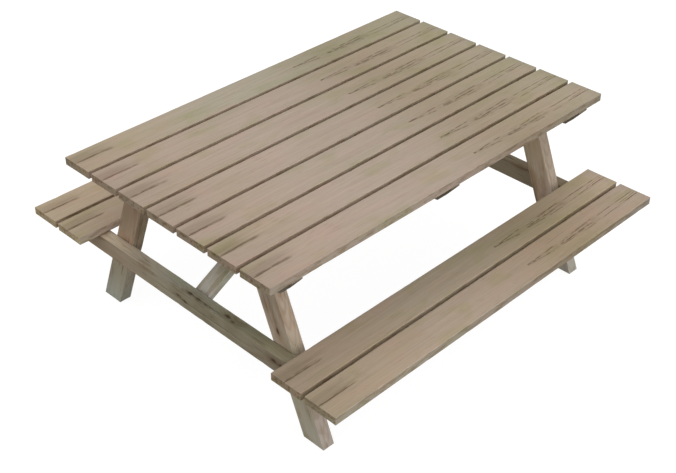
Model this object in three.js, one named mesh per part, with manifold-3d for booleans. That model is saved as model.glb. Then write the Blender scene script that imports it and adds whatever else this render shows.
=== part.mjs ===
// A timber picnic table with a bench on each side, in millimetres, with +Z up.
// X runs along the boards, the front is -Y, and the origin is on the ground under the table's middle.
// Each end has two splayed legs. A seat bearer and a top bearer are screwed to their outer faces.
// A sloping brace runs from each seat bearer up to the batten across the middle of the table top.
import * as THREE from "three";
import { mergeVertices } from "three/addons/utils/BufferGeometryUtils.js";
import Module from "manifold-3d";

const wasm = await Module();
wasm.setup();

// Boards of the table top and the seats.
const BOARD_LENGTH = 1800;
const BOARD_WIDTH = 145;
const BOARD_THICKNESS = 32;
const BOARD_GAP = 17;
const TOP_BOARDS = 7;
const TABLE_HEIGHT = 755;
const SEAT_BOARDS = 2;
const SEAT_HEIGHT = 394;
const SEAT_CENTRE_Y = 698;

// Legs, which lean in towards the top.
const LEG_WIDTH = 95;
const LEG_THICKNESS = 53;
const LEG_SPLAY = THREE.MathUtils.degToRad(21.8);
const FOOT_CENTRE_Y = 596;
const END_FRAME_X = 757; // the plane where the legs' outer faces meet the bearers

// Timbers that run across the boards. Their ends are bevelled on the underside.
const BEARER_DEPTH = 75;
const BEARER_THICKNESS = 50;
const BEVEL_RUN = 60;
const BEVEL_NOSE = 5;
const SEAT_BEARER_INSET = 21; // from the seat's outer edge to the bearer's end

// Sloping braces.
const BRACE_WIDTH = 75;
const BRACE_DEPTH = 30;
const BRACE_SLOPE = THREE.MathUtils.degToRad(28.4);

// Planed edges.
const TIMBER_EASE = 2;

// Hex-head coach screws and their washers. At the left end they are driven through the legs into
// the bearers, and at the right end through the bearers into the legs.
const SCREW_RADIUS = 5;
const SCREW_LENGTH = 90;
const SCREW_POINT = 12;
const SCREW_SIDES = 12;
const HEAD_ACROSS_FLATS = 17;
const HEAD_HEIGHT = 7;
const HEAD_EASE = 0.8;
const WASHER_RADIUS = 15;
const WASHER_THICKNESS = 2.5;
const SCREW_SPREAD_Y = 20; // each pair stands on a diagonal across the leg
const SCREW_SPREAD_Z = 18;

// Countersunk screws that hold the braces.
const BRACE_SCREW_RADIUS = 3;
const BRACE_SCREW_HEAD_RADIUS = 6.5;
const BRACE_SCREW_HEAD_HEIGHT = 4;
const BRACE_SCREW_LENGTH = 55;
const BRACE_SCREW_SINK = 3;
const FOOT_SCREW_DROP = 1; // below the seat bearer's middle height
const HEAD_SCREW_SETBACK = 26; // from the middle batten's face

const CLEARANCE = 0.3; // between a screw and its hole

const TOP_UNDERSIDE = TABLE_HEIGHT - BOARD_THICKNESS;
const SEAT_UNDERSIDE = SEAT_HEIGHT - BOARD_THICKNESS;
const TOP_WIDTH = TOP_BOARDS * BOARD_WIDTH + (TOP_BOARDS - 1) * BOARD_GAP;
const SEAT_WIDTH = SEAT_BOARDS * BOARD_WIDTH + (SEAT_BOARDS - 1) * BOARD_GAP;
const BATTEN_FACE_X = BEARER_THICKNESS / 2;

function material(colour, roughness, metalness) {
  return new THREE.MeshStandardMaterial({ color: colour, roughness, metalness });
}

const boardWood = () => material(0xa99883, 0.8, 0);
const frameWood = () => material(0x84765f, 0.85, 0);
const zinc = () => material(0xa4a6a4, 0.45, 0.9);

function mesh(name, geometry, finish) {
  const made = new THREE.Mesh(geometry, finish);
  made.name = name;
  return made;
}

// A prism along the axis "x", "y" or "z", from 0 to length.
// Its outline's two numbers are the next two axes in turn: y,z for x, then z,x for y, and x,y for z.
function prism(outline, along, length, ease = 0, holes = []) {
  const shape = new THREE.Shape(outline.map(([u, v]) => new THREE.Vector2(u, v)));
  shape.holes = holes.map((hole) => new THREE.Path(hole.map(([u, v]) => new THREE.Vector2(u, v))));
  const geometry = new THREE.ExtrudeGeometry(shape, {
    depth: length - 2 * ease,
    bevelEnabled: ease > 0,
    bevelThickness: ease,
    bevelSize: ease,
    bevelOffset: -ease,
    bevelSegments: 1,
  });
  geometry.translate(0, 0, ease);
  const [x, y, z] = [0, 1, 2].map((i) => new THREE.Vector3().setComponent(i, 1));
  const bases = { x: [y, z, x], y: [z, x, y], z: [x, y, z] };
  return geometry.applyMatrix4(new THREE.Matrix4().makeBasis(...bases[along]));
}

function polygon(radius, sides) {
  return Array.from({ length: sides }, (_, i) => {
    const angle = (2 * Math.PI * i) / sides;
    return [radius * Math.cos(angle), radius * Math.sin(angle)];
  });
}

// A turned solid whose axis is X. Its profile is a list of [distance along X, radius] from axis to axis.
function turned(profile, sides) {
  const points = profile.map(([x, radius]) => new THREE.Vector2(radius, x));
  return new THREE.LatheGeometry(points, sides).rotateZ(-Math.PI / 2);
}

function solid(geometry) {
  const bare = geometry.index ? geometry.toNonIndexed() : geometry.clone();
  bare.deleteAttribute("normal");
  bare.deleteAttribute("uv");
  const merged = mergeVertices(bare, 1e-3);
  return new wasm.Manifold(
    new wasm.Mesh({
      numProp: 3,
      vertProperties: new Float32Array(merged.attributes.position.array),
      triVerts: new Uint32Array(merged.index.array),
    }),
  );
}

function geometryOf(body) {
  const found = body.getMesh();
  const geometry = new THREE.BufferGeometry();
  geometry.setAttribute("position", new THREE.BufferAttribute(found.vertProperties, 3));
  geometry.setIndex(new THREE.BufferAttribute(found.triVerts, 1));
  const flat = geometry.toNonIndexed();
  flat.computeVertexNormals();
  return flat;
}

// The timber with each of these shapes cut out of it.
function cut(timber, rooms) {
  let body = solid(timber);
  for (const room of rooms) body = body.subtract(solid(room));
  return geometryOf(body);
}

// The room that a coach screw's shank needs, along X.
function screwHole(y, z, from, to) {
  return prism(polygon(SCREW_RADIUS + CLEARANCE, SCREW_SIDES), "x", to - from).translate(from, y, z);
}

// Boards

function boardGeometry() {
  const [l, w] = [BOARD_LENGTH / 2, BOARD_WIDTH / 2];
  return prism([[-l, -w], [l, -w], [l, w], [-l, w]], "z", BOARD_THICKNESS, TIMBER_EASE);
}

function boardPitch(index, count) {
  return (index - (count - 1) / 2) * (BOARD_WIDTH + BOARD_GAP);
}

function tableTop() {
  const group = new THREE.Group();
  group.position.z = TOP_UNDERSIDE;
  for (let i = 0; i < TOP_BOARDS; i++) {
    const board = mesh(`top_board_${i + 1}`, boardGeometry(), boardWood());
    board.position.y = boardPitch(i, TOP_BOARDS);
    group.add(board);
  }
  return group;
}

function bench(side, centreY) {
  const group = new THREE.Group();
  group.position.set(0, centreY, SEAT_UNDERSIDE);
  for (let i = 0; i < SEAT_BOARDS; i++) {
    const y = boardPitch(i, SEAT_BOARDS);
    const place = y * centreY > 0 ? "outer" : "inner";
    const board = mesh(`bench_${side}_${place}_board`, boardGeometry(), boardWood());
    board.position.y = y;
    group.add(board);
  }
  return group;
}

// Timbers across the boards, hung below the height of the group's origin

function crossTimber(length) {
  const end = length / 2;
  const outline = [
    [-end, 0],
    [-end, -BEVEL_NOSE],
    [-end + BEVEL_RUN, -BEARER_DEPTH],
    [end - BEVEL_RUN, -BEARER_DEPTH],
    [end, -BEVEL_NOSE],
    [end, 0],
  ];
  return prism(outline, "x", BEARER_THICKNESS, TIMBER_EASE);
}

function middleBatten() {
  const batten = mesh("top_batten_middle", crossTimber(TOP_WIDTH), frameWood());
  batten.position.set(-BATTEN_FACE_X, 0, TOP_UNDERSIDE);
  return batten;
}

// The end frame, built as the right-hand one: +X is outward

// How far the leg's middle line is from the table's middle at height z.
function legCentreY(z) {
  return FOOT_CENTRE_Y - z * Math.tan(LEG_SPLAY);
}

// The two screws through a leg where a bearer crosses it, as a distance from the middle line and a height.
function crossingScrews(bearerTop) {
  const middle = bearerTop - BEARER_DEPTH / 2;
  return [-1, 1].map((way) => {
    const z = middle + way * SCREW_SPREAD_Z;
    return { distance: legCentreY(z) - way * SCREW_SPREAD_Y, z };
  });
}

const CROSSINGS = { seat: crossingScrews(SEAT_UNDERSIDE), top: crossingScrews(TOP_UNDERSIDE) };

// How deep the screws' holes are in each timber, from the face where the leg and the bearer meet.
const HOLE_DEPTHS = {
  left: { leg: LEG_THICKNESS + 1, bearer: SCREW_LENGTH - WASHER_THICKNESS - LEG_THICKNESS + 1 },
  right: { leg: SCREW_LENGTH - WASHER_THICKNESS - BEARER_THICKNESS + 1, bearer: BEARER_THICKNESS + 1 },
};

function leg(name, way, holeDepth) {
  const half = LEG_WIDTH / Math.cos(LEG_SPLAY) / 2;
  const foot = way * FOOT_CENTRE_Y;
  const top = way * legCentreY(TOP_UNDERSIDE);
  const outline = [
    [foot - half, 0],
    [foot + half, 0],
    [top + half, TOP_UNDERSIDE],
    [top - half, TOP_UNDERSIDE],
  ];
  const rooms = [...CROSSINGS.seat, ...CROSSINGS.top].map(({ distance, z }) =>
    screwHole(way * distance, z, LEG_THICKNESS - holeDepth, LEG_THICKNESS + 1),
  );
  const made = mesh(name, cut(prism(outline, "x", LEG_THICKNESS, TIMBER_EASE), rooms), frameWood());
  made.position.x = END_FRAME_X - LEG_THICKNESS;
  return made;
}

function bearer(name, length, height, screws, holeDepth, otherRooms = []) {
  const rooms = screws.flatMap(({ distance, z }) =>
    [-1, 1].map((way) => screwHole(way * distance, z - height, -1, holeDepth)),
  );
  const made = mesh(name, cut(crossTimber(length), [...rooms, ...otherRooms]), frameWood());
  made.position.set(END_FRAME_X, 0, height);
  return made;
}

function coachScrewGeometry() {
  const headRadius = HEAD_ACROSS_FLATS / 2 / Math.cos(Math.PI / 6);
  const head = prism(polygon(headRadius, 6), "x", HEAD_HEIGHT, HEAD_EASE).translate(-HEAD_HEIGHT, 0, 0);
  const shank = turned(
    [
      [-HEAD_HEIGHT / 2, 0],
      [-HEAD_HEIGHT / 2, SCREW_RADIUS],
      [SCREW_LENGTH - SCREW_POINT, SCREW_RADIUS],
      [SCREW_LENGTH, 0],
    ],
    SCREW_SIDES,
  );
  return geometryOf(solid(head).add(solid(shank)));
}

function washerGeometry() {
  const hole = polygon(SCREW_RADIUS + CLEARANCE, SCREW_SIDES);
  return prism(polygon(WASHER_RADIUS, 2 * SCREW_SIDES), "x", WASHER_THICKNESS, 0, [hole]);
}

// The left end's screws point outward from the leg's inner face, and the right end's inward from
// the bearer's outer face.
function screwAndWasher(side, label, y, z) {
  const group = new THREE.Group();
  const legHead = END_FRAME_X - LEG_THICKNESS - WASHER_THICKNESS;
  const bearerHead = END_FRAME_X + BEARER_THICKNESS + WASHER_THICKNESS;
  group.position.set(side === "left" ? legHead : bearerHead, y, z);
  group.rotation.z = side === "left" ? 0 : Math.PI;
  group.add(mesh(`${label}_coach_screw`, coachScrewGeometry(), zinc()));
  group.add(mesh(`${label}_washer`, washerGeometry(), zinc()));
  return group;
}

// The height of the brace's underside at x. Its foot is centred on the seat bearer.
function braceUnderside(x) {
  const foot = SEAT_UNDERSIDE - BEARER_DEPTH / 2 - BRACE_DEPTH / Math.cos(BRACE_SLOPE) / 2;
  return foot + (END_FRAME_X - x) * Math.tan(BRACE_SLOPE);
}

// One countersunk screw, whose head faces -X at x = 0.
function braceScrewGeometry() {
  return turned(
    [
      [0, 0],
      [0, BRACE_SCREW_HEAD_RADIUS],
      [BRACE_SCREW_HEAD_HEIGHT, BRACE_SCREW_RADIUS],
      [BRACE_SCREW_LENGTH - BRACE_SCREW_HEAD_HEIGHT, BRACE_SCREW_RADIUS],
      [BRACE_SCREW_LENGTH, 0],
    ],
    SCREW_SIDES,
  );
}

// The room that a brace screw needs, open on the head's side, moved to the screw's place.
function braceScrewRoom(place) {
  const head = BRACE_SCREW_HEAD_RADIUS + CLEARANCE;
  const shank = BRACE_SCREW_RADIUS + CLEARANCE;
  const room = turned(
    [
      [-BRACE_DEPTH, 0],
      [-BRACE_DEPTH, head],
      [CLEARANCE, head],
      [BRACE_SCREW_HEAD_HEIGHT + CLEARANCE, shank],
      [BRACE_SCREW_LENGTH + 1, shank],
      [BRACE_SCREW_LENGTH + 1, 0],
    ],
    SCREW_SIDES,
  );
  return room.applyMatrix4(place);
}

function move(x, y, z) {
  return new THREE.Matrix4().makeTranslation(x, y, z);
}

// The foot screw runs level into the seat bearer, and the head screw runs up into the middle top board.
function braceScrewPlaces() {
  const footZ = SEAT_UNDERSIDE - BEARER_DEPTH / 2 - FOOT_SCREW_DROP;
  const footX = END_FRAME_X - (footZ - braceUnderside(END_FRAME_X)) / Math.tan(BRACE_SLOPE);
  const headX = BATTEN_FACE_X + HEAD_SCREW_SETBACK;
  const upwards = new THREE.Matrix4().makeRotationY(-Math.PI / 2);
  return {
    foot: move(footX + BRACE_SCREW_SINK, 0, footZ),
    head: move(headX, 0, braceUnderside(headX) + BRACE_SCREW_SINK).multiply(upwards),
  };
}

const BRACE_SCREWS = braceScrewPlaces();

function brace(name) {
  const rise = BRACE_DEPTH / Math.cos(BRACE_SLOPE);
  const foot = braceUnderside(END_FRAME_X);
  const outline = [
    [foot, END_FRAME_X],
    [foot + rise, END_FRAME_X],
    [TOP_UNDERSIDE, END_FRAME_X - (TOP_UNDERSIDE - rise - foot) / Math.tan(BRACE_SLOPE)],
    [TOP_UNDERSIDE, BATTEN_FACE_X],
    [braceUnderside(BATTEN_FACE_X), BATTEN_FACE_X],
  ];
  const timber = prism(outline, "y", BRACE_WIDTH).translate(0, -BRACE_WIDTH / 2, 0);
  return mesh(name, cut(timber, Object.values(BRACE_SCREWS).map(braceScrewRoom)), frameWood());
}

function braceScrew(name, place) {
  const made = mesh(name, braceScrewGeometry(), zinc());
  place.decompose(made.position, made.quaternion, made.scale);
  return made;
}

// Turning the left-hand frame half round swaps its front and rear.
function endFrame(side) {
  const group = new THREE.Group();
  group.rotation.z = side === "left" ? Math.PI : 0;
  const faces = side === "left" ? { rear: -1, front: 1 } : { front: -1, rear: 1 };
  const depths = HOLE_DEPTHS[side];
  for (const [face, way] of Object.entries(faces)) {
    group.add(leg(`leg_${side}_${face}`, way, depths.leg));
    for (const [crossing, screws] of Object.entries(CROSSINGS)) {
      screws.forEach(({ distance, z }, i) => {
        const label = `${side}_${face}_${crossing}_${i ? "upper" : "lower"}`;
        group.add(screwAndWasher(side, label, way * distance, z));
      });
    }
  }
  const seatSpan = 2 * SEAT_CENTRE_Y + SEAT_WIDTH - 2 * SEAT_BEARER_INSET;
  const footRoom = braceScrewRoom(move(-END_FRAME_X, 0, -SEAT_UNDERSIDE).multiply(BRACE_SCREWS.foot));
  const seat = [seatSpan, SEAT_UNDERSIDE, CROSSINGS.seat, depths.bearer, [footRoom]];
  group.add(bearer(`seat_bearer_${side}`, ...seat));
  group.add(bearer(`top_bearer_${side}`, TOP_WIDTH, TOP_UNDERSIDE, CROSSINGS.top, depths.bearer));
  group.add(brace(`brace_${side}`));
  group.add(braceScrew(`brace_${side}_foot_screw`, BRACE_SCREWS.foot));
  group.add(braceScrew(`brace_${side}_head_screw`, BRACE_SCREWS.head));
  return group;
}

const table = new THREE.Group();
table.add(tableTop());
table.add(bench("front", -SEAT_CENTRE_Y));
table.add(bench("rear", SEAT_CENTRE_Y));
table.add(middleBatten());
table.add(endFrame("left"));
table.add(endFrame("right"));

// The middle board takes the points of both braces' head screws.
const middleBoard = table.getObjectByName(`top_board_${(TOP_BOARDS + 1) / 2}`);
const rightScrew = move(0, 0, -TOP_UNDERSIDE).multiply(BRACE_SCREWS.head);
const leftScrew = new THREE.Matrix4().makeRotationZ(Math.PI).multiply(rightScrew);
middleBoard.geometry = cut(middleBoard.geometry, [rightScrew, leftScrew].map(braceScrewRoom));

export default table;
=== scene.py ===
"""A weathered timber picnic table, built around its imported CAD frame. Lengths are in metres."""

import math
import random
from collections.abc import Callable
from dataclasses import dataclass

import bpy
import numpy as np
from mathutils import Euler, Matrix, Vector


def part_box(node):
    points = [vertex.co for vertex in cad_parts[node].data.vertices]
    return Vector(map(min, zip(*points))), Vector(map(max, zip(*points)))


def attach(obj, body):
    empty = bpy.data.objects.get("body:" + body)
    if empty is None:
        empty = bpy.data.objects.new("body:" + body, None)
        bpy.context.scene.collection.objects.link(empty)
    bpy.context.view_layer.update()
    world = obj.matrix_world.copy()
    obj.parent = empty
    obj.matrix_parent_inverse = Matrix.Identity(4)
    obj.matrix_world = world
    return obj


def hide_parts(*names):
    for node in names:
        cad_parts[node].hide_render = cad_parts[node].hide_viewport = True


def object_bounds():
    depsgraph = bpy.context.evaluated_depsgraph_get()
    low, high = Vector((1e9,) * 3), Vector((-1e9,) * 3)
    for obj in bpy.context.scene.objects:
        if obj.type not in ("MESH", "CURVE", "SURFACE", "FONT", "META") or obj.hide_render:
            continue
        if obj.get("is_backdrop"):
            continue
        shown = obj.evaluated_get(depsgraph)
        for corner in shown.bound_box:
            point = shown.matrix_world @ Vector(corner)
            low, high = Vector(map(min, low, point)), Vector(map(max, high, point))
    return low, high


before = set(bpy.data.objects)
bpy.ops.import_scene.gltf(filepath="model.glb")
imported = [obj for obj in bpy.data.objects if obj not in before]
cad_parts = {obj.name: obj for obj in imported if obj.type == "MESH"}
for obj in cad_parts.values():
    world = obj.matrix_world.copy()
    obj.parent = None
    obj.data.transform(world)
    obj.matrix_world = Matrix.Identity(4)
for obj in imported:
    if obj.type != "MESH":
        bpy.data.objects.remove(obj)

CAD_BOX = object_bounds()
MM = 0.001

# Camera
AIM = Vector((-0.0156, 0.0212, 0.2220))
AIM_DISTANCE = 4.9
CAMERA_TURN = math.radians(-45.06)
CAMERA_DIP = math.radians(35.31)
LENS_MM = 63.55
SENSOR_MM = 36.0
CLIP_END = 100

# Light
FLOOR_REACH = 40
FLOOR_COLOUR = (0.12, 0.12, 0.12, 1)
FLOOR_ROUGHNESS = 0.9
FLOOR_GLOW = 0.92
WHITE = (1, 1, 1, 1)
ROOM_GLOW = 1.0
GROUND_GLOW = 0.26
HORIZON = (-0.14, -0.05)  # between these heights of a direction, the ground's glow turns to the room's
OVERHEAD = {"place": (0, 0, 4.5), "size": 5.5, "power": 76}
FRONT = {"place": (0.8, -4.7, 2.6), "size": 2.5, "power": 66}

# Sawn timber
STATION_STEP = 9 * MM
COLUMN_STEP = 9 * MM
EDGE_COLUMN = 2.5 * MM  # how far from a face's edge its last plain column is
ARRIS_RADIUS = 1.4 * MM
ARRIS_WEAR = 1.0 * MM
WIDEST_ARRIS = 0.8  # of half the timber's thickness
END_ARRIS = 0.9 * MM
END_STATIONS = (0, 0.29, 1, 2.5, 4.5)  # in end arrises from the timber's end
CORNER_STEPS = 3
DENTS = (1, 4)  # the fewest and the most on an arris
DENT_LENGTH_MM = (8, 22)
DENT_DEPTH_MM = (0.8, 2.2)
FACE_HOLLOW = 0.5 * MM
FACE_RIPPLE = 0.25 * MM
EDGE_SWAY = 0.3 * MM
SWAY_STEP = 0.35  # from one bend of a curve to the next, as in the three after it
RIPPLE_STEP = 0.12
CRACK_STEP = 0.09
WEAR_STEP = 0.07
CRACK_SPREAD = 3 * MM
CRACK_WANDER = 1.5 * MM
CRACK_CLEARANCE = 0.5 * MM
CRACK_PROFILE = ((-1, 0), (-0.4, 0.6), (0, 1), (0.4, 0.6), (1, 0))  # how far across, and how deep there
CRACK_OPENS = 4  # a crack opens over 1 / 4 of its length, and closes over 1 / 1.4 of it
CRACK_CLOSES = 1.4
CRACK_CLOSED_WIDTH = 0.45  # of the width of its columns where it is open
FRAME_CRACK_SHARE = (0.15, 0.45)  # of the timber's length
FRAME_CRACK_HALF_WIDTH_MM = (0.9, 1.5)
FRAME_CRACK_DEPTH_MM = (3, 6)
CRACK_ORDER = 1e-4  # keeps a crack's columns in order while they are sorted
TOUCHING = 0.5 * MM

# Grain
RING_WIDTH = 5.2 * MM
HEART_DEPTH = 55 * MM
HEART_ASIDE = 8 * MM  # how far each unit of a timber's draw moves its heart, from the middle draw
HEART_DEEPER = 9 * MM
DRAW_RANGE = 3
SEED_SHIFT = 7.3  # how far each unit of a timber's draw moves it in its noises
BOARD_TILT = 0.007
BEARER_TILT = 0.03
LEG_TILT = 0.09
START_SHADE = 0.22
# how far the painted shade in corners looks for wood that encloses a point
CORNER_SHADE_REACH = 22 * MM
KNOT_STRETCH = 2.4
KNOT_WAVER = 6 * MM
KNOT_BULGE = 9 * MM  # how far a knot pushes the rings aside
RING_WOBBLE = 16 * MM
STROKE_WAVER = 7 * MM
START_RAGGED = 0.16
WOOD_RELIEF = 0.5 * MM
ZINC_RELIEF = 0.05 * MM
NO_KNOT = 1.0  # a distance that is beyond every knot's reach

# The dark strokes of each board's figure, in mm: where a stroke begins and ends, from the board's
# middle, how far aside it is at each of those, its half width, and then how dark it is.
FIGURE = (
    (-900, -722, 7, 6, 9.5, 0.55),
    (180, 240, -3, -4, 6.0, 1.0),
    (225, 355, -1, 5, 3.8, 0.8),
    (225, 335, -6, -19, 3.8, 0.8),
    (190, 420, -6, -6, 18.0, 0.16),
    (365, 600, -10, -8, 4.0, 1.0),
    (380, 440, -3, 0, 3.2, 0.7),
    (455, 610, 3, 11, 3.6, 0.9),
    (375, 490, -14, -21, 3.4, 0.8),
    (505, 600, -22, -22, 3.2, 0.7),
    (400, 650, -6, -5, 24.0, 0.24),
    (625, 898, 6, 10, 3.2, 0.8),
    (640, 898, -18, -10, 3.2, 0.7),
    (770, 898, -6, 0, 2.8, 0.6),
)

# The wood's colour, as places from 0 to 1 along a timber
BOARD_TONES = [
    (0.0, (0.294, 0.229, 0.177)),
    (0.14, (0.312, 0.241, 0.186)),
    (0.32, (0.311, 0.249, 0.200)),
    (0.52, (0.292, 0.236, 0.186)),
    (0.70, (0.249, 0.199, 0.139)),
    (0.84, (0.260, 0.211, 0.147)),
    (0.97, (0.276, 0.231, 0.166)),
    (1.0, (0.250, 0.216, 0.160)),
]
LEG_TONES = [
    (0.0, (0.365, 0.350, 0.298)),
    (0.16, (0.355, 0.318, 0.254)),
    (0.40, (0.345, 0.285, 0.218)),
    (1.0, (0.315, 0.250, 0.185)),
]
BEARER_TONES = [
    (0.0, (0.245, 0.212, 0.163)),
    (0.35, (0.262, 0.240, 0.175)),
    (0.60, (0.285, 0.258, 0.200)),
    (1.0, (0.350, 0.288, 0.215)),
]
BRACE_TONES = [
    (0.0, (0.380, 0.355, 0.300)),
    (0.5, (0.345, 0.315, 0.258)),
    (1.0, (0.310, 0.262, 0.205)),
]

# How the colour of a timber, or of all whose names start so, differs from its kind's. Its tints hold the
# wood's own colour and also painted light and shade: faces in shadow painted lighter, undersides darker.
# Each row is for all of its faces or for one, and gives tints at even steps from the timber's start to
# its end.
TINTS_AND_PAINTED_LIGHT = {
    "bench": {"all": ((1.07, 1.05, 0.99), (1.10, 1.05, 1.03))},
    "bench_front_inner": {
        "all": (
            (0.97, 0.98, 0.91),
            (1.02, 1.03, 0.94),
            (1.05, 1.07, 0.97),
            (1.13, 1.13, 1.05),
            (1.36, 1.25, 1.27),
        ),
    },
    "bench_front_outer": {
        "all": (
            (0.97, 1.02, 0.91),
            (1.07, 1.06, 1.00),
            (1.09, 1.06, 1.00),
            (1.14, 1.08, 1.04),
            (1.19, 1.10, 1.20),
        ),
        "left": (
            (1.04, 1.20, 1.20),
            (0.99, 1.10, 1.10),
            (0.91, 0.94, 0.94),
            (0.95, 0.95, 1.00),
            (0.93, 0.97, 1.13),
        ),
    },
    "bench_rear": {
        "all": (
            (1.28, 1.31, 1.18),
            (1.08, 1.03, 0.99),
            (1.10, 1.05, 1.03),
            (1.10, 1.05, 1.03),
        ),
    },
    # painted light on its front side, which lies in shade under the table top, most at its left end
    "bench_rear_inner": {
        "left": (
            (1.90, 2.02, 2.26),
            (1.45, 1.48, 1.55),
            (1.10, 1.05, 1.03),
            (1.10, 1.05, 1.03),
            (1.10, 1.05, 1.03),
        ),
    },
    "top_board_1": {"left": ((1.04, 1.14, 1.20), (0.99, 1.01, 1.05), (0.89, 0.92, 1.00))},
    "top_board_7": {"top": ((1.00, 1.03, 0.95), (0.94, 1.03, 0.99), (0.95, 1.00, 0.96))},
    # painted light on its outer and front faces, most where the spreader and the top shade them
    "leg_left_front": {
        "top": (
            (1.14, 1.10, 1.04),
            (1.18, 1.20, 1.13),
            (1.36, 1.33, 1.34),
            (1.25, 1.27, 1.27),
            (1.25, 1.25, 1.27),
        ),
        "left": (
            (1.17, 1.05, 1.06),
            (1.14, 1.08, 1.10),
            (1.16, 1.13, 1.13),
            (1.30, 1.29, 1.33),
            (1.38, 1.38, 1.40),
        ),
    },
    "leg_left_rear": {
        "all": ((1.00, 0.98, 0.94), (0.88, 0.76, 0.66)),
        "top": (
            (0.97, 1.04, 1.04),
            (1.00, 1.01, 0.92),
            (1.24, 1.08, 1.03),
            (0.98, 0.84, 0.76),
            (0.92, 0.80, 0.69),
        ),
        "left": (
            (0.81, 0.83, 0.80),
            (1.12, 1.12, 1.05),
            (1.10, 1.00, 0.90),
            (0.91, 0.82, 0.73),
        ),
    },
    # painted light on its inner face, which lies in shade under the top
    "leg_right_front": {
        "bottom": (
            (1.10, 1.04, 1.00),
            (1.30, 1.25, 1.20),
            (1.70, 1.62, 1.66),
            (1.78, 1.70, 1.55),
            (1.68, 1.55, 1.42),
        ),
        "left": (
            (1.05, 1.02, 1.00),
            (1.10, 1.09, 1.09),
            (1.16, 1.14, 1.17),
            (1.02, 1.02, 1.04),
            (1.22, 1.26, 1.32),
        ),
    },
    "seat_bearer_left": {
        "left": (
            (0.66, 0.54, 0.49),
            (0.99, 0.92, 0.87),
            (1.08, 1.09, 1.02),
            (1.08, 0.97, 0.88),
            (1.08, 0.95, 0.85),
        ),
        "top": (
            (0.80, 0.68, 0.64),
            (1.03, 1.04, 0.90),
            (1.18, 1.25, 1.26),
            (1.62, 1.56, 1.52),
            (1.75, 1.70, 1.60),
        ),
    },
    "seat_bearer_right": {
        "all": ((1.05, 0.93, 0.82),),
        "left": ((1.20, 1.07, 0.98),),
        "top": (
            (1.20, 1.06, 0.94),
            (0.76, 0.66, 0.58),
            (0.76, 0.66, 0.58),
            (0.90, 0.80, 0.70),
            (1.05, 0.93, 0.82),
        ),
    },
    # painted light on its upper and front faces, which lie in the shade of the top
    "brace_left": {
        "right": ((1.50, 1.52, 1.55), (1.36, 1.38, 1.42), (1.15, 1.15, 1.15)),
        "bottom": ((1.60, 1.62, 1.78), (1.58, 1.55, 1.62), (1.15, 1.12, 1.10)),
    },
    # painted shade on the undersides and bevelled ends of the top's bearers and batten
    "top_bearer": {"bottom": ((0.58, 0.49, 0.41),)},
    "top_batten": {"bottom": ((0.58, 0.49, 0.41),)},
}
NO_SHADE = ((1, 1, 1),)

# Knots that stand at known places, as places along and aside, the way that they run, and how faint
# they are. Those in a row make a streak.
KNOTS = {
    "seat_bearer_left": [
        (0.338, -32 * MM, "v", 0),
        (0.375, -28 * MM, "v", 0),
        (0.608, -8 * MM, "w", 3 * MM),
        (0.642, 0, "w", 0),
        (0.705, -24 * MM, "v", 3 * MM),
        (0.752, -13 * MM, "w", 3 * MM),
        (0.795, -11 * MM, "w", 2 * MM),
        (0.840, -9 * MM, "w", 1 * MM),
        (0.858, -40 * MM, "v", 1 * MM),
        (0.895, -31 * MM, "v", 1 * MM),
    ],
    "leg_left_front": [(0.452, 3 * MM, "w", 0)],
    "leg_right_front": [],
}

# The tints of what shows in a board's wood, with painted light on its sides and painted shade in its
# cracks
DARK_PATCHES = (0.88, 0.93, 0.80)
LIGHT_PATCHES = (1.04, 1.00, 1.00)
DARK_BLOTCHES = (0.92, 0.95, 0.84)
LIGHT_BLOTCHES = (1.03, 0.98, 0.99)
BOARD_RINGS = (0.50, 0.44, 0.36)
FLECKS = (0.50, 0.43, 0.34)
GLINTS = (1.16, 1.16, 1.15)
# painted light, which makes a board's side faces lighter
PAINTED_LIGHT_ON_SIDES = (1.18, 1.16, 1.14)
SIDE_STAINS = (0.62, 0.56, 0.44)
BOARD_START = (0.75, 0.735, 0.70)
STROKES = (0.37, 0.30, 0.23)
# painted shade inside a board's cracks, darker where they are deeper and more open
BOARD_CRACK_SHADE = (0.72, 0.65, 0.56)

# The tints of what shows in the wood of the frame, with painted shade in its cracks
BROWN_PATCHES = (0.76, 0.67, 0.57)
GREEN_PATCHES = (0.84, 0.91, 0.82)
PALE_PATCHES = (1.09, 1.06, 1.04)
FRAME_RINGS = (0.56, 0.48, 0.40)
DASHES = (0.52, 0.43, 0.34)
AROUND_KNOTS = (0.62, 0.52, 0.40)
KNOT_CORES = (0.34, 0.27, 0.21)
# painted shade inside a frame timber's cracks, darker where they are deeper and more open
FRAME_CRACK_SHADE = (0.34, 0.27, 0.20)

# The tints of what shows in both
WORN_EDGES = (1.16, 1.13, 1.10)
SAWN_ENDS = (1.05, 1.05, 0.97)
END_MOTTLE = (0.62, 0.58, 0.46)
END_RINGS = (0.70, 0.62, 0.52)

# The tints of the painted shade, with some dirt, in corners and gaps
BOARD_SHADE_AND_DIRT = (0.95, 0.80, 0.60)
SEAT_SHADE_AND_DIRT = (0.50, 0.35, 0.16)
FRAME_SHADE_AND_DIRT = (0.55, 0.46, 0.37)

# Zinc plate, as display colours from 0 to 255
ZINC_DULL = (150, 151, 150)
ZINC_BRIGHT = (186, 188, 188)
ZINC_STAIN = (126, 102, 78)

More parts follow.
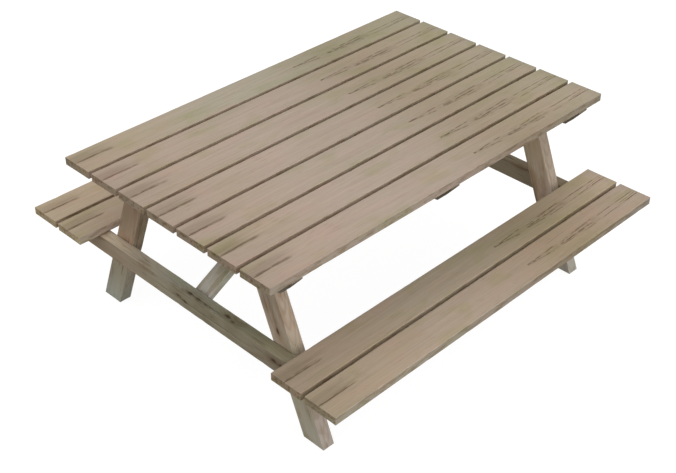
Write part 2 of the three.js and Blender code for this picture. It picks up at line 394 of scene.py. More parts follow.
# Screws that hold the boards, from below
HEAD_RADIUS = 4.75 * MM
HEAD_RIM = 0.2 * MM
HEAD_SINK = 3.2 * MM
HEAD_CROWN = 0.3 * MM
CROWN_SHARE = 0.93  # of the head's radius, where its crown ends
SHANK_SHARE = 0.45  # of the head's radius
SOCKET_RADIUS = 1.9 * MM
SOCKET_LOBE = 0.35 * MM
SOCKET_LOBES = 6
SOCKET_LIP = 0.4 * MM
SOCKET_DEPTH = 2.2 * MM
SOCKET_FLAT = 0.3  # of the socket's radius, at its bottom
SCREW_SEGMENTS = 36
SCREW_ASIDE = 45 * MM
SCREW_MARGIN = 8 * MM

# A timber's random draws start from its kind's seed and its own number
BOARD_SEED = 1000
LEG_SEED = 2000
CROSS_SEED = 3000
BRACE_SEED = 4000

UPRIGHT = Vector((0, 0, 1))
LENGTHWISE = Vector((1, 0, 0))
CROSSWISE = Vector((0, 1, 0))


# Camera, floor and light


def make_camera():
    data = bpy.data.cameras.new("photo_camera")
    data.lens = LENS_MM
    data.sensor_width = SENSOR_MM
    data.clip_end = CLIP_END
    camera = bpy.data.objects.new("photo_camera", data)
    camera.rotation_euler = Euler((math.pi / 2 - CAMERA_DIP, 0, CAMERA_TURN))
    forward = camera.rotation_euler.to_matrix() @ Vector((0, 0, -1))
    camera.location = AIM - forward * AIM_DISTANCE
    bpy.context.scene.collection.objects.link(camera)
    bpy.context.scene.camera = camera


def make_floor():
    """A white floor that glows, so that it shows no hard shadow, and throws no light on the table."""
    mesh = bpy.data.meshes.new("floor")
    corners = [(x * FLOOR_REACH, y * FLOOR_REACH, 0) for x, y in ((-1, -1), (1, -1), (1, 1), (-1, 1))]
    mesh.from_pydata(corners, [], [(0, 1, 2, 3)])
    floor = bpy.data.objects.new("floor", mesh)
    g = Graph("lit_floor")
    g.shader.inputs["Base Color"].default_value = FLOOR_COLOUR
    g.shader.inputs["Roughness"].default_value = FLOOR_ROUGHNESS
    g.shader.inputs["Emission Color"].default_value = WHITE
    g.shader.inputs["Emission Strength"].default_value = FLOOR_GLOW
    mesh.materials.append(g.material)
    floor.visible_diffuse = False
    floor.visible_glossy = False
    bpy.context.scene.collection.objects.link(floor)
    floor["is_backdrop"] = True


def make_softbox(name, place, size, power):
    """A square light that faces the table."""
    data = bpy.data.lights.new(name, "AREA")
    data.shape = "SQUARE"
    data.size = size
    data.energy = power
    lamp = bpy.data.objects.new(name, data)
    lamp.location = place
    lamp.rotation_euler = (-Vector(place)).to_track_quat("-Z", "Y").to_euler()
    bpy.context.scene.collection.objects.link(lamp)


def make_room():
    """Even light from all sides above the floor, and less from below it."""
    world = bpy.data.worlds.new("studio")
    world.use_nodes = True
    tree = world.node_tree
    direction = tree.nodes.new("ShaderNodeTexCoord")
    height = tree.nodes.new("ShaderNodeSeparateXYZ")
    glow = tree.nodes.new("ShaderNodeMapRange")
    limits = {
        "From Min": HORIZON[0],
        "From Max": HORIZON[1],
        "To Min": GROUND_GLOW,
        "To Max": ROOM_GLOW,
    }
    for name, value in limits.items():
        glow.inputs[name].default_value = value
    tree.links.new(direction.outputs["Generated"], height.inputs[0])
    tree.links.new(height.outputs["Z"], glow.inputs["Value"])
    tree.links.new(glow.outputs["Result"], tree.nodes["Background"].inputs["Strength"])
    tree.nodes["Background"].inputs["Color"].default_value = WHITE
    bpy.context.scene.world = world


def make_light():
    make_room()
    make_softbox("overhead", **OVERHEAD)
    make_softbox("front", **FRONT)
    bpy.context.scene.view_settings.view_transform = "Standard"


# Materials


class Graph:
    """A material's nodes, with short calls for the ones used here."""

    def __init__(self, name):
        self.material = bpy.data.materials.new(name)
        self.material.use_nodes = True
        self.tree = self.material.node_tree
        self.shader = self.tree.nodes["Principled BSDF"]

    def feed(self, socket, value):
        if isinstance(value, bpy.types.NodeSocket):
            self.tree.links.new(value, socket)
        else:
            socket.default_value = value

    def node(self, kind, *values, **settings):
        made = self.tree.nodes.new(kind)
        for key, value in settings.items():
            setattr(made, key, value)
        for socket, value in zip(made.inputs, values):
            self.feed(socket, value)
        return made

    def maths(self, operation, *values):
        return self.node("ShaderNodeMath", *values, operation=operation).outputs[0]

    def add(self, a, b):
        return self.maths("ADD", a, b)

    def times(self, a, b):
        return self.maths("MULTIPLY", a, b)

    def between(self, share, low, high):
        """low where share is 0, high where it is 1, and evenly from one to the other."""
        return self.add(self.times(share, high - low), low)

    def vector(self, x, y, z):
        return self.node("ShaderNodeCombineXYZ", x, y, z).outputs[0]

    def split(self, value):
        return self.node("ShaderNodeSeparateXYZ", value).outputs[:]

    def attribute(self, name):
        return self.node("ShaderNodeAttribute", attribute_name=name).outputs["Vector"]

    def noise(self, at, detail=2.0, roughness=0.5):
        made = self.node("ShaderNodeTexNoise")
        self.feed(made.inputs["Vector"], at)
        self.feed(made.inputs["Scale"], 1.0)
        self.feed(made.inputs["Detail"], detail)
        self.feed(made.inputs["Roughness"], roughness)
        return made.outputs["Fac"]

    def step(self, value, none, full):
        """0 where value is at none, 1 where it is at full, and smooth between them."""
        made = self.node("ShaderNodeMapRange", interpolation_type="SMOOTHSTEP")
        self.feed(made.inputs["Value"], value)
        self.feed(made.inputs["From Min"], none)
        self.feed(made.inputs["From Max"], full)
        return made.outputs["Result"]

    def mix(self, share, a, b, blend="MIX"):
        made = self.node("ShaderNodeMix", data_type="RGBA", blend_type=blend)
        self.feed(made.inputs[0], share)
        self.feed(made.inputs[6], a)
        self.feed(made.inputs[7], b)
        return made.outputs[2]

    def tint(self, share, tone, colour):
        return self.mix(share, tone, (*colour, 1), "MULTIPLY")

    def ramp(self, value, stops):
        made = self.node("ShaderNodeValToRGB", value)
        elements = made.color_ramp.elements
        while len(elements) < len(stops):
            elements.new(0.5)
        for element, (place, colour) in zip(elements, stops):
            element.position = place
            element.color = (*colour, 1)
        return made.outputs["Color"]

    def bump(self, height, distance):
        made = self.node("ShaderNodeBump")
        self.feed(made.inputs["Strength"], 1.0)
        self.feed(made.inputs["Distance"], distance)
        self.feed(made.inputs["Height"], height)
        self.feed(self.shader.inputs["Normal"], made.outputs[0])


def srgb(red, green, blue):
    """A display colour, 0 to 255, as the linear colour that shaders take."""
    return tuple(
        c / 12.92 if c <= 0.04045 else ((c + 0.055) / 1.055) ** 2.4
        for c in (red / 255, green / 255, blue / 255)
    )


class Grain:
    """What a timber's mesh tells its material: where a point is in the timber, and how it is worn."""

    def __init__(self, g):
        self.g = g
        self.u, self.v, self.w = g.split(g.attribute("timber_at"))
        self.length, self.seed, self.knot = g.split(g.attribute("timber"))
        self.arris, self.crack, self.end = g.split(g.attribute("wear"))
        self.shade = g.attribute("shade")
        self.side, self.from_heart, self.over_heart = g.split(g.attribute("heart"))
        self.upper = g.step(self.w, none=-2 * MM, full=6 * MM)
        self.shift = g.times(self.seed, SEED_SHIFT)

    def noise(self, lengthwise, across, detail=2.0, roughness=0.5):
        """Noise drawn out along the grain, with this many waves to the metre each way."""
        g = self.g
        at = g.vector(
            g.add(g.times(self.u, lengthwise), self.shift),
            g.add(g.times(self.v, across), self.shift),
            g.times(self.w, across),
        )
        return g.noise(at, detail, roughness)

    def waver(self, lengthwise, across, reach):
        """The same noise, as a distance to one side or the other."""
        return self.g.between(self.noise(lengthwise, across), low=-reach / 2, high=reach / 2)


def grey(level):
    return (level, level, level)


def wood(name, tones, figure, shade_and_dirt):
    """Weathered softwood.

    tones gives its colour from one end to the other, and the last argument is the tint of the painted
    shade, with some dirt, in its corners and gaps."""
    g = Graph(name)
    grain = Grain(g)
    streaks = grain.noise(lengthwise=1.6, across=60.0, detail=3.0, roughness=0.6)
    fibre = grain.noise(lengthwise=5.0, across=420.0, detail=4.0, roughness=0.65)
    tone = g.ramp(g.maths("DIVIDE", grain.u, grain.length), tones)
    # each face's tint, which holds painted light and shade as well as the wood's own colour
    tone = g.mix(1.0, tone, grain.shade, "MULTIPLY")
    tone = g.mix(1.0, tone, g.ramp(streaks, [(0.25, grey(0.93)), (0.75, grey(1.06))]), "MULTIPLY")
    tone = g.mix(1.0, tone, g.ramp(fibre, [(0.25, grey(0.90)), (0.75, grey(1.08))]), "MULTIPLY")
    tone, height = figure(g, grain, tone)
    tone = g.tint(g.times(grain.arris, 0.30), tone, WORN_EDGES)
    tone = end_grain(g, grain, tone)
    # painted shade, with some dirt, in corners and gaps
    tone = g.tint(corner_grime(g, grain), tone, shade_and_dirt)

    g.feed(g.shader.inputs["Base Color"], tone)
    g.feed(g.shader.inputs["Roughness"], g.between(streaks, low=0.70, high=0.90))
    g.shader.inputs["Specular IOR Level"].default_value = 0.25
    g.bump(g.add(g.times(fibre, 0.55), height), WOOD_RELIEF)
    return g.material


def paint(g, tone, layers):
    """The tone under these layers. Each is where it shows, how strong it is there, and its tint."""
    for shown, strength, colour in layers:
        tone = g.tint(g.times(shown, strength), tone, colour)
    return tone


def board_figure(g, grain, tone):
    """A board's stains and figure, with painted light on its sides and painted shade in its cracks, and
    the height that they add to its bump.
    """
    patches = grain.noise(lengthwise=2.4, across=9.0, detail=3.0, roughness=0.55)
    blotches = grain.noise(lengthwise=6.0, across=13.0)
    rings = growth_rings(g, grain, 0.0)
    flecks = g.step(grain.noise(lengthwise=16.0, across=240.0), none=0.60, full=0.74)
    glints = g.step(grain.noise(lengthwise=18.0, across=210.0), none=0.38, full=0.26)
    dirt = grain.noise(lengthwise=16.0, across=60.0, detail=3.0, roughness=0.6)
    stains = g.times(grain.side, g.step(dirt, none=0.46, full=0.64))
    strokes = g.times(grain.upper, figure_strokes(g, grain))
    layers = (
        (g.step(patches, none=0.50, full=0.78), 1.0, DARK_PATCHES),
        (g.step(patches, none=0.46, full=0.24), 1.0, LIGHT_PATCHES),
        (g.step(blotches, none=0.52, full=0.72), 1.0, DARK_BLOTCHES),
        (g.step(blotches, none=0.46, full=0.28), 1.0, LIGHT_BLOTCHES),
        (rings, 0.10, BOARD_RINGS),
        (flecks, 0.34, FLECKS),
        (glints, 0.5, GLINTS),
        # painted light on the side faces
        (grain.side, 0.9, PAINTED_LIGHT_ON_SIDES),
        (stains, 0.7, SIDE_STAINS),
        (start_shade(g, grain), 1.0, BOARD_START),
        (strokes, 1.0, STROKES),
        # painted shade inside cracks
        (grain.crack, 1.0, BOARD_CRACK_SHADE),
    )
    return paint(g, tone, layers), g.add(g.times(rings, 0.2), g.times(strokes, -0.8))


def frame_figure(g, grain, tone):
    """The same for a timber of the frame, which has more grain, dirt and knots, and painted shade in its
    cracks.
    """
    brown = grain.noise(lengthwise=5.0, across=14.0, detail=3.0, roughness=0.6)
    green = grain.noise(lengthwise=3.1, across=8.0)
    knot_edge = g.add(grain.knot, g.times(grain.noise(lengthwise=50.0, across=60.0), KNOT_WAVER))
    knot_core = g.step(knot_edge, none=13 * MM, full=6 * MM)
    round_knot = g.step(knot_edge, none=36 * MM, full=8 * MM)
    rings = growth_rings(g, grain, round_knot)
    dashes = g.step(grain.noise(lengthwise=9.0, across=84.0), none=0.60, full=0.72)
    layers = (
        (g.step(brown, none=0.50, full=0.70), 1.0, BROWN_PATCHES),
        (g.step(green, none=0.52, full=0.74), 1.0, GREEN_PATCHES),
        (g.step(brown, none=0.44, full=0.26), 1.0, PALE_PATCHES),
        (rings, 0.26, FRAME_RINGS),
        (dashes, 0.50, DASHES),
        (round_knot, 0.60, AROUND_KNOTS),
        (knot_core, 1.0, KNOT_CORES),
        # painted shade inside cracks
        (grain.crack, 1.0, FRAME_CRACK_SHADE),
    )
    return paint(g, tone, layers), g.add(g.times(rings, 0.45), g.times(knot_core, 0.5))


def growth_rings(g, grain, round_knot):
    """Late wood, as rings round the tree's heart, which bend round knots."""
    wobble = grain.waver(lengthwise=1.6, across=9.0, reach=RING_WOBBLE)
    aside = g.add(grain.from_heart, wobble)
    over = g.add(grain.over_heart, g.times(wobble, 0.6))
    radius = g.maths("SQRT", g.add(g.times(aside, aside), g.times(over, over)))
    radius = g.add(radius, g.times(round_knot, KNOT_BULGE))
    phase = g.maths("FRACT", g.times(radius, 1 / RING_WIDTH))
    return g.times(g.step(phase, none=0.40, full=0.88), g.step(phase, none=1.0, full=0.90))


def start_shade(g, grain):
    """Darker wood beside the check at a board's left end, which runs out in streaks."""
    ragged = grain.waver(lengthwise=3.0, across=70.0, reach=START_RAGGED)
    near = g.step(g.add(grain.u, ragged), none=START_SHADE, full=0.3 * START_SHADE)
    past_check = g.step(grain.v, none=4 * MM, full=10 * MM)
    beside = g.times(past_check, g.step(grain.v, none=66 * MM, full=36 * MM))
    return g.times(grain.upper, g.times(near, g.between(beside, low=0.10, high=0.85)))


def figure_strokes(g, grain):
    """The strokes of FIGURE, with edges that waver and breaks along them."""
    along = g.add(grain.u, g.times(grain.length, -0.5))
    aside = g.add(grain.v, grain.waver(lengthwise=9.0, across=30.0, reach=STROKE_WAVER))
    whole = g.step(grain.noise(lengthwise=30.0, across=130.0), none=0.38, full=0.54)
    marks = [stroke(g, along, aside, *line) for line in FIGURE]
    strongest = marks[0]
    for mark in marks[1:]:
        strongest = g.maths("MAXIMUM", strongest, mark)
    return g.times(strongest, g.between(whole, low=0.25, high=1.0))


def stroke(g, along, aside, start, finish, start_aside, finish_aside, half_width, strength):
    """One line of the figure, from 0 to its strength."""
    span = (finish - start) * MM
    share = g.times(g.add(along, -start * MM), 1 / span)
    middle = g.add(g.times(share, (finish_aside - start_aside) * MM), start_aside * MM)
    distance = g.maths("ABSOLUTE", g.maths("SUBTRACT", aside, middle))
    line = g.step(distance, none=half_width * MM, full=0.3 * half_width * MM)
    ends = g.times(g.step(share, none=0.0, full=0.10), g.step(share, none=1.0, full=0.85))
    return g.times(g.times(line, ends), strength)


def end_grain(g, grain, tone):
    """Sawn ends drink in the wet: they are mottled, and show the rings."""
    mottle = grain.noise(lengthwise=70.0, across=75.0, detail=3.0, roughness=0.6)
    rings = growth_rings(g, grain, 0.0)
    layers = (
        (grain.end, 1.0, SAWN_ENDS),
        (g.times(grain.end, g.step(mottle, none=0.48, full=0.66)), 1.0, END_MOTTLE),
        (g.times(grain.end, rings), 0.4, END_RINGS),
    )
    return paint(g, tone, layers)


def corner_grime(g, grain):
    """Painted shade, with some dirt, where timbers meet and in the gaps between them: the more enclosed
    the wood, the darker.
    """
    made = g.node("ShaderNodeAmbientOcclusion", samples=6)
    made.inputs["Distance"].default_value = CORNER_SHADE_REACH
    shelter = g.maths("SUBTRACT", 1.0, made.outputs["AO"])
    uneven = g.step(grain.noise(lengthwise=6.0, across=3.0), none=0.36, full=0.64)
    return g.times(g.step(shelter, none=0.25, full=0.95), g.between(uneven, low=0.60, high=1.15))


def metal_noise(g, waves, detail):
    """Noise over an object's own space, with this many waves to the metre."""
    at = g.node("ShaderNodeTexCoord").outputs["Object"]
    scaled = g.node("ShaderNodeVectorMath", at, (waves, waves, waves), operation="MULTIPLY").outputs[0]
    return g.noise(scaled, detail)


def zinc():
    g = Graph("zinc_plate")
    wide = metal_noise(g, waves=160, detail=3.0)
    fine = metal_noise(g, waves=900, detail=2.0)
    stain = g.step(wide, none=0.52, full=0.7)
    tone = g.mix(wide, (*srgb(*ZINC_DULL), 1), (*srgb(*ZINC_BRIGHT), 1))
    tone = g.mix(g.times(stain, 0.5), tone, (*srgb(*ZINC_STAIN), 1))
    g.feed(g.shader.inputs["Base Color"], tone)
    g.shader.inputs["Metallic"].default_value = 0.85
    g.feed(g.shader.inputs["Roughness"], g.between(fine, low=0.38, high=0.63))
    g.bump(fine, ZINC_RELIEF)
    return g.material


# Timber


class Crack:
    """A drying crack on one face, which tapers at each of its ends that is inside the timber."""

    def __init__(self, face, start, end, offset, half_width, depth):
        self.face, self.start, self.end = face, start, end
        self.offset, self.half_width, self.depth = offset, half_width, depth

    def openness(self, u, length):
        share = np.clip((u - self.start) / (self.end - self.start), 0, 1)
        left = np.ones_like(u) if self.start <= 0 else np.clip(share * CRACK_OPENS, 0, 1)
        right = np.ones_like(u) if self.end >= length else np.clip((1 - share) * CRACK_CLOSES, 0, 1)
        inside = (u >= self.start) & (u <= self.end)
        return np.where(inside, (left * right) ** 0.8, 0)

    def shape(self, u, length):
        """Along u, half the width that its columns take, how open it is, and how far it strays."""
        rng = random.Random(repr((self.face, self.offset, self.start)))
        opened = self.openness(u, length)
        width = CRACK_SPREAD + (self.half_width - CRACK_SPREAD) * np.minimum(opened * 3, 1)
        width = np.minimum(width, CRACK_SPREAD) * (CRACK_CLOSED_WIDTH + (1 - CRACK_CLOSED_WIDTH) * opened)
        width = np.where(opened > 0, width, CRACK_SPREAD)
        return width, opened, wander(rng, u, CRACK_STEP, CRACK_WANDER)


def wander(rng, u, step, amount):
    """A smooth random curve along u, within amount of zero."""
    knots = np.arange(u.min() - 2 * step, u.max() + 3 * step, step)
    heights = np.array([rng.uniform(-1, 1) for _ in knots])
    share = (u - knots[0]) / step
    i = np.floor(share).astype(int)
    t = share - i
    t = t * t * (3 - 2 * t)
    return amount * (heights[i] * (1 - t) + heights[i + 1] * t)


def stations(length):
    """Places along a timber, closer together where its ends are rounded."""
    rounding = [END_ARRIS * x for x in END_STATIONS]
    count = round((length - 2 * rounding[-1]) / STATION_STEP)
    middle = np.linspace(rounding[-1], length - rounding[-1], count + 1)
    return np.concatenate([rounding[:-1], middle, [length - x for x in reversed(rounding[:-1])]])


def end_inset(u, length):
    """How far each face draws in near the timber's ends, so that the ends' edges are rounded."""
    depth = np.clip(np.minimum(u, length - u), 0, END_ARRIS)
    return END_ARRIS - np.sqrt(np.maximum(END_ARRIS**2 - (END_ARRIS - depth) ** 2, 0))


# Each face's name, the way that the ring of points runs along it, and the way into the timber
FACES = (
    ("top", (1, 0), (0, -1)),
    ("right", (0, -1), (-1, 0)),
    ("bottom", (-1, 0), (0, 1)),
    ("left", (0, 1), (1, 0)),
)
SIDES = ("left", "right")


def column_places(half, cracks):
    """Where columns stand across a face, from -half to half.

    Each is (share of half, crack, how far across the crack, how deep in it)."""
    plain = np.linspace(-1, 1, max(2, round(2 * half / COLUMN_STEP)) + 1)
    near_edge = 1 - EDGE_COLUMN / half
    room = CRACK_SPREAD + CRACK_WANDER + CRACK_CLEARANCE
    shares = sorted({*plain, -near_edge, near_edge})
    found = [(s, None, 0, 0) for s in shares if all(abs(s * half - c.offset) > room for c in cracks)]
    for crack in cracks:
        for across, deep in CRACK_PROFILE:
            found.append((crack.offset / half + across * CRACK_ORDER, crack, across, deep))
    return sorted(found, key=lambda column: column[0])


def ring_columns(rng, u, length, section, cracks, shades):
    """The timber's points as columns along it, in order round it.

    Each is (v, w, arris, crack, side, shade)."""
    inset = end_inset(u, length)
    v0, v1, w0, w1 = (edge + sign * inset for edge, sign in zip(section, (1, -1, 1, -1)))
    centre = (v0 + v1) / 2, (w0 + w1) / 2
    halves = (v1 - v0) / 2, (w1 - w0) / 2
    radii = [corner_radius(rng, u, np.minimum(*halves)) for _ in FACES]
    columns = []
    for f, face in enumerate(FACES):
        name, run, inward = face
        after = (f + 1) % len(FACES)
        own = [crack for crack in cracks if crack.face == name]
        ends = radii[f], radii[after]
        for point, dark in face_columns(rng, u, length, face, centre, halves, ends, own):
            columns.append((*point, 0.0, dark, float(name in SIDES), shades[name]))
        between = (shades[name] + shades[FACES[after][0]]) / 2
        for point in corner_points(centre, halves, run, inward, radii[after]):
            columns.append((*point, 1.0, 0.0, 0.5, between))
    return columns


def face_columns(rng, u, length, face, centre, halves, ends, cracks):
    """The columns of one face, between its rounded corners: each one's v and w, and how cracked it is."""
    _, run, inward = face
    along, deep = (0, 1) if run[0] else (1, 0)
    half, widest = halves[along], float(halves[along].max())
    ripple = [wander(rng, u, RIPPLE_STEP, FACE_RIPPLE) for _ in range(2)]
    for share, crack, across, depth in column_places(widest, cracks):
        place = share * half + ends[0] * (1 - share) / 2 - ends[1] * (1 + share) / 2
        sink = (1 - share**2) * (FACE_HOLLOW + ripple[0] * share + ripple[1])
        dark = np.zeros_like(u)
        if crack:
            width, opened, path = crack.shape(u, length)
            place = (crack.offset + path + across * width) * half / widest
            sink = sink + depth * opened * crack.depth
            dark = opened * depth
        point = [None, None]
        point[along] = centre[along] + run[along] * place
        point[deep] = centre[deep] - inward[deep] * (halves[deep] - np.maximum(sink, 0))
        yield point, dark


def corner_radius(rng, u, limit):
    """An arris worn unevenly, with a few dents."""
    worn = ARRIS_RADIUS + np.abs(wander(rng, u, WEAR_STEP, ARRIS_WEAR))
    for _ in range(rng.randint(*DENTS)):
        place, size = rng.uniform(0, u.max()), rng.uniform(*DENT_LENGTH_MM) * MM
        worn = worn + rng.uniform(*DENT_DEPTH_MM) * MM * np.exp(-(((u - place) / size) ** 2))
    return np.minimum(worn, WIDEST_ARRIS * limit)


def corner_points(centre, halves, run, inward, radius):
    """The points of the quarter round at the end of a face, without the two that its faces have."""
    points = []
    for i in range(1, CORNER_STEPS):
        angle = i / CORNER_STEPS * math.pi / 2
        point = []
        for axis in (0, 1):
            corner = centre[axis] + (run[axis] - inward[axis]) * halves[axis]
            back = radius * (inward[axis] - run[axis])
            out = radius * (math.sin(angle) * run[axis] - math.cos(angle) * inward[axis])
            point.append(corner + back + out)
        points.append(point)
    return points


@dataclass
class Timber:
    """A sawn timber that replaces the CAD node of the same name.

    section is (lowest v, highest v, lowest w, highest w), each a number or a function of u.
    place turns u, v and w into points, and grain gives the origin and axes that its wood runs along.
    The tree's heart nears the timber by tilt, and turn is how far round it lies from straight below."""

    name: str
    slot: str
    material: bpy.types.Material
    length: float
    section: tuple
    place: Callable
    grain: tuple
    cracks: list
    knots: list
    rng: random.Random
    tilt: float
    turn: float = 0.0

    def build(self):
        u = stations(self.length)
        edges = [edge(u) if callable(edge) else np.full_like(u, edge) for edge in self.section]
        shades = face_shades(self.name, u / self.length)
        columns = ring_columns(self.rng, u, self.length, edges, self.cracks, shades)
        v, w, arris, dark, side, shade = (column_values(columns, i, len(u)) for i in range(6))
        points = self.place(np.broadcast_to(u, v.shape), v, w).reshape(-1, 3)
        quads, caps = tube_faces(len(columns), len(u))
        mesh = self.make_mesh(points, quads, caps)
        self.mark_wood(mesh, points, side, shade)
        mark_wear(mesh, arris, dark, len(quads))
        self.add_piece(mesh)

    def make_mesh(self, points, quads, caps):
        faces = quads.tolist() + caps
        if enclosed_volume(points, quads) < 0:
            faces = [face[::-1] for face in faces]
        mesh = bpy.data.meshes.new(self.name)
        mesh.from_pydata(points.tolist(), [], faces)
        mesh.polygons.foreach_set("use_smooth", [True] * len(quads) + [False] * len(caps))
        return mesh

    def mark_wood(self, mesh, points, side, shade):
        """Says where each point is in the timber and in the tree."""
        origin, axes = self.grain
        local = (points - np.array(origin)) @ np.array(axes).T
        along, across, through = local.T
        add_vectors(mesh, "timber_at", "POINT", local)
        draw = self.rng.uniform(0, DRAW_RANGE)
        whole, seed = np.full(len(points), self.length), np.full(len(points), draw)
        knots = knot_distance(local, self.knots)
        add_vectors(mesh, "timber", "POINT", np.stack([whole, seed, knots], axis=-1))
        add_vectors(mesh, "shade", "POINT", shade.reshape(-1, 3))
        cosine, sine = math.cos(self.turn), math.sin(self.turn)
        aside = across * cosine + through * sine + HEART_ASIDE * (draw - DRAW_RANGE / 2)
        over = through * cosine - across * sine + HEART_DEPTH + HEART_DEEPER * draw - self.tilt * along
        add_vectors(mesh, "heart", "POINT", np.stack([side.ravel(), aside, over], axis=-1))

    def add_piece(self, mesh):
        mesh.materials.append(self.material)
        piece = bpy.data.objects.new(self.name + "_timber", mesh)
        bpy.context.scene.collection.objects.link(piece)
        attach(piece, "root")
        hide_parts(self.name)


def tube_faces(around, count):
    """The faces of a tube of this many columns, each of count points, and of the caps at its ends."""
    index = np.arange(around * count).reshape(around, count)
    near, far = index, np.roll(index, -1, axis=0)
    quads = np.stack([near[:, :-1], far[:, :-1], far[:, 1:], near[:, 1:]], axis=-1).reshape(-1, 4)
    return quads, [index[::-1, 0].tolist(), index[:, -1].tolist()]


def mark_wear(mesh, arris, dark, quad_count):
    """Says how worn and cracked each face corner is, and which are on the sawn ends."""
    wear = np.stack([arris.ravel(), dark.ravel(), np.zeros(arris.size)], axis=-1)
    corners = np.zeros(len(mesh.loops), int)
    mesh.loops.foreach_get("vertex_index", corners)
    by_corner = wear[corners]
    by_corner[4 * quad_count :] = (0, 0, 1)
    add_vectors(mesh, "wear", "CORNER", by_corner)


def column_values(columns, i, count):
    """One of the columns' values, at each of the count points along them."""
    found = [np.asarray(column[i]) for column in columns]
    return np.array([x if x.ndim else np.full(count, x) for x in found])


def face_shades(name, share):
    """The tint of each face of a timber from the table of tints, painted light and shade included, at
    each share of its length.
    """
    given = {}
    for start, shades in TINTS_AND_PAINTED_LIGHT.items():
        if name.startswith(start):
            given.update(shades)
    found = {}
    for face, _, _ in FACES:
        tints = np.array(given.get(face, given.get("all", NO_SHADE)))
        places = np.linspace(0, 1, len(tints))
        found[face] = np.stack([np.interp(share, places, channel) for channel in tints.T], axis=-1)
    return found


def knot_distance(local, knots):
    """How far each point is from the nearest knot. A knot is drawn out along the timber.

    A faint one counts as further away than it is."""
    nearest = np.full(len(local), NO_KNOT)
    for along, aside, through, faintness in knots:
        other = 1 if through == "w" else 2
        distance = np.hypot((local[:, 0] - along) / KNOT_STRETCH, local[:, other] - aside)
        nearest = np.minimum(nearest, distance + faintness)
    return nearest


def enclosed_volume(points, quads):
    a, b, c, d = (points[quads[:, i]] for i in range(4))
    return float(np.einsum("ij,ij->", a, np.cross(b, c)) + np.einsum("ij,ij->", a, np.cross(c, d)))


def add_vectors(mesh, name, domain, values):
    attribute = mesh.attributes.new(name, "FLOAT_VECTOR", domain)
    attribute.data.foreach_set("vector", np.ascontiguousarray(values, dtype=np.float32).ravel())


def corners_on(node, axis, value):
    """The lowest and highest corner of what a CAD node has on a plane across an axis."""
    points = np.array([v.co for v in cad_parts[node].data.vertices])
    near = points[np.abs(points[:, axis] - value) < TOUCHING]
    return near.min(0), near.max(0)


def straight(origin, along, across, through):
    """A place function and grain axes for a timber that starts at origin and runs along a direction."""
    o, a, b, c = (np.array(x, float) for x in (origin, along, across, through))

    def place(u, v, w):
        return o + u[..., None] * a + v[..., None] * b + w[..., None] * c

    lengthwise = a / np.linalg.norm(a)
    sideways = c / np.linalg.norm(c)
    crosswise = np.cross(sideways, lengthwise)
    return place, (o, (lengthwise, crosswise * math.copysign(1, float(crosswise @ b)), sideways))


# The boards


def board_cracks(rng, length):
    """A wide check from the left end at mid-width, a fine one from the right, and one underneath."""
    check = rng.uniform(0.17, 0.20)
    aside = rng.uniform(6, 7) * MM
    fine = length - rng.uniform(0.10, 0.14)
    below = rng.uniform(-30, 30) * MM
    return [
        Crack("top", start=0, end=check, offset=aside, half_width=2.2 * MM, depth=4 * MM),
        Crack("top", start=fine, end=length, offset=-12 * MM, half_width=1.0 * MM, depth=3 * MM),
        Crack("bottom", length * 0.3, length * 0.55, offset=below, half_width=1 * MM, depth=4 * MM),
    ]


def make_board(node, slot, material, number):
    rng = random.Random(BOARD_SEED + number)
    low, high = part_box(node)
    length = high.x - low.x
    half, thickness = (high.y - low.y) / 2, high.z - low.z
    origin = (low.x, (low.y + high.y) / 2, (low.z + high.z) / 2)
    place, grain = straight(origin, LENGTHWISE, CROSSWISE, UPRIGHT)
    sway = wander(rng, stations(length), SWAY_STEP, EDGE_SWAY)
    section = (
        lambda u: -half + EDGE_SWAY + sway,
        lambda u: half - EDGE_SWAY + sway,
        -thickness / 2,
        thickness / 2,
    )
    cracks = board_cracks(rng, length)
    board = Timber(node, slot, material, length, section, place, grain, cracks, [], rng, BOARD_TILT)
    board.build()


# The frame


# The open crack on top of the left seat bearer, near its middle
BEARER_CRACK = Crack("top", start=0.66, end=0.90, offset=-8 * MM, half_width=1.6 * MM, depth=6 * MM)


def frame_cracks(rng, length, faces, reach):
    """A long crack in each of these faces.

    reach is how wide a band along the middle of the top or bottom it may be in, and then of a side."""
    found = []
    for face in faces:
        size = rng.uniform(*FRAME_CRACK_SHARE) * length
        start = rng.uniform(0.05, 0.95) * (length - size)
        offset = rng.uniform(-0.5, 0.5) * reach[face in SIDES]
        half_width = rng.uniform(*FRAME_CRACK_HALF_WIDTH_MM) * MM
        depth = rng.uniform(*FRAME_CRACK_DEPTH_MM) * MM
        found.append(Crack(face, start, start + size, offset, half_width, depth))
    return found


def frame_knots(rng, length, half):
    """A knot or two at random, given like those of KNOTS."""
    return [
        (rng.uniform(0.15, 0.85) * length, rng.uniform(-0.6, 0.6) * half, rng.choice("vw"), 0)
        for _ in range(rng.randint(1, 2))
    ]


def frame_timber(node, material, *shape, turn):
    """Builds a timber of the frame. shape is what Timber takes from its length to its tilt."""
    Timber(node, "frame_timber", material, *shape, turn=turn).build()


